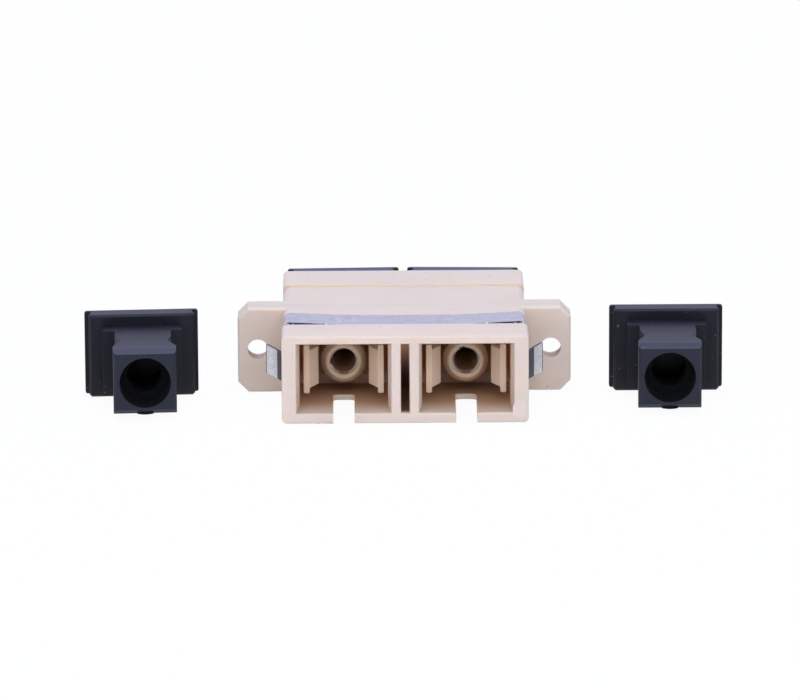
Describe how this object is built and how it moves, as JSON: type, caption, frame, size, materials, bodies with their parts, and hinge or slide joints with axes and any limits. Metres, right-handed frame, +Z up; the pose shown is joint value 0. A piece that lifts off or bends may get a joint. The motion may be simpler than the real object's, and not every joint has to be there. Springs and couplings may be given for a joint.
{
  "type": "fibre optic adapter",
  "caption": "Duplex flanged fibre adapter with square push-pull ports, split alignment sleeves, a spring panel clip and dust caps.",
  "frame": {"origin": "midway between the two screw holes, in the plane where the two halves of the flange meet", "axes": "+X along the flange to the right as seen from the open ports, +Y from the open front ports to the capped rear ports, +Z up, key slots down"},
  "size_m": [0.0669, 0.0295, 0.0095],
  "materials": {
    "housing": "moulded beige plastic, satin",
    "latch": "moulded beige plastic, satin",
    "sleeve": "bright metal",
    "clip": "rolled spring steel",
    "cap": "soft black moulded plastic"
  },
  "bodies": {
    "adapter": {"housing_front": "housing", "housing_rear": "housing", "latch_front_left": "latch", "latch_front_right": "latch", "latch_rear_left": "latch", "latch_rear_right": "latch", "sleeve_left": "sleeve", "sleeve_right": "sleeve", "mounting_clip": "clip", "cap_loose_left": "cap", "cap_loose_right": "cap"},
    "rear_left_cap": {"cap_rear_left": "cap"},
    "rear_right_cap": {"cap_rear_right": "cap"}
  },
  "joints": [
    {"name": "rear_left_cap_pull", "type": "slide", "parent": "adapter", "child": "rear_left_cap", "axis": [0, 1, 0], "range_m": [0, 0.012], "deforming": ["latch_rear_left"]},
    {"name": "rear_right_cap_pull", "type": "slide", "parent": "adapter", "child": "rear_right_cap", "axis": [0, 1, 0], "range_m": [0, 0.012], "deforming": ["latch_rear_right"]}
  ]
}
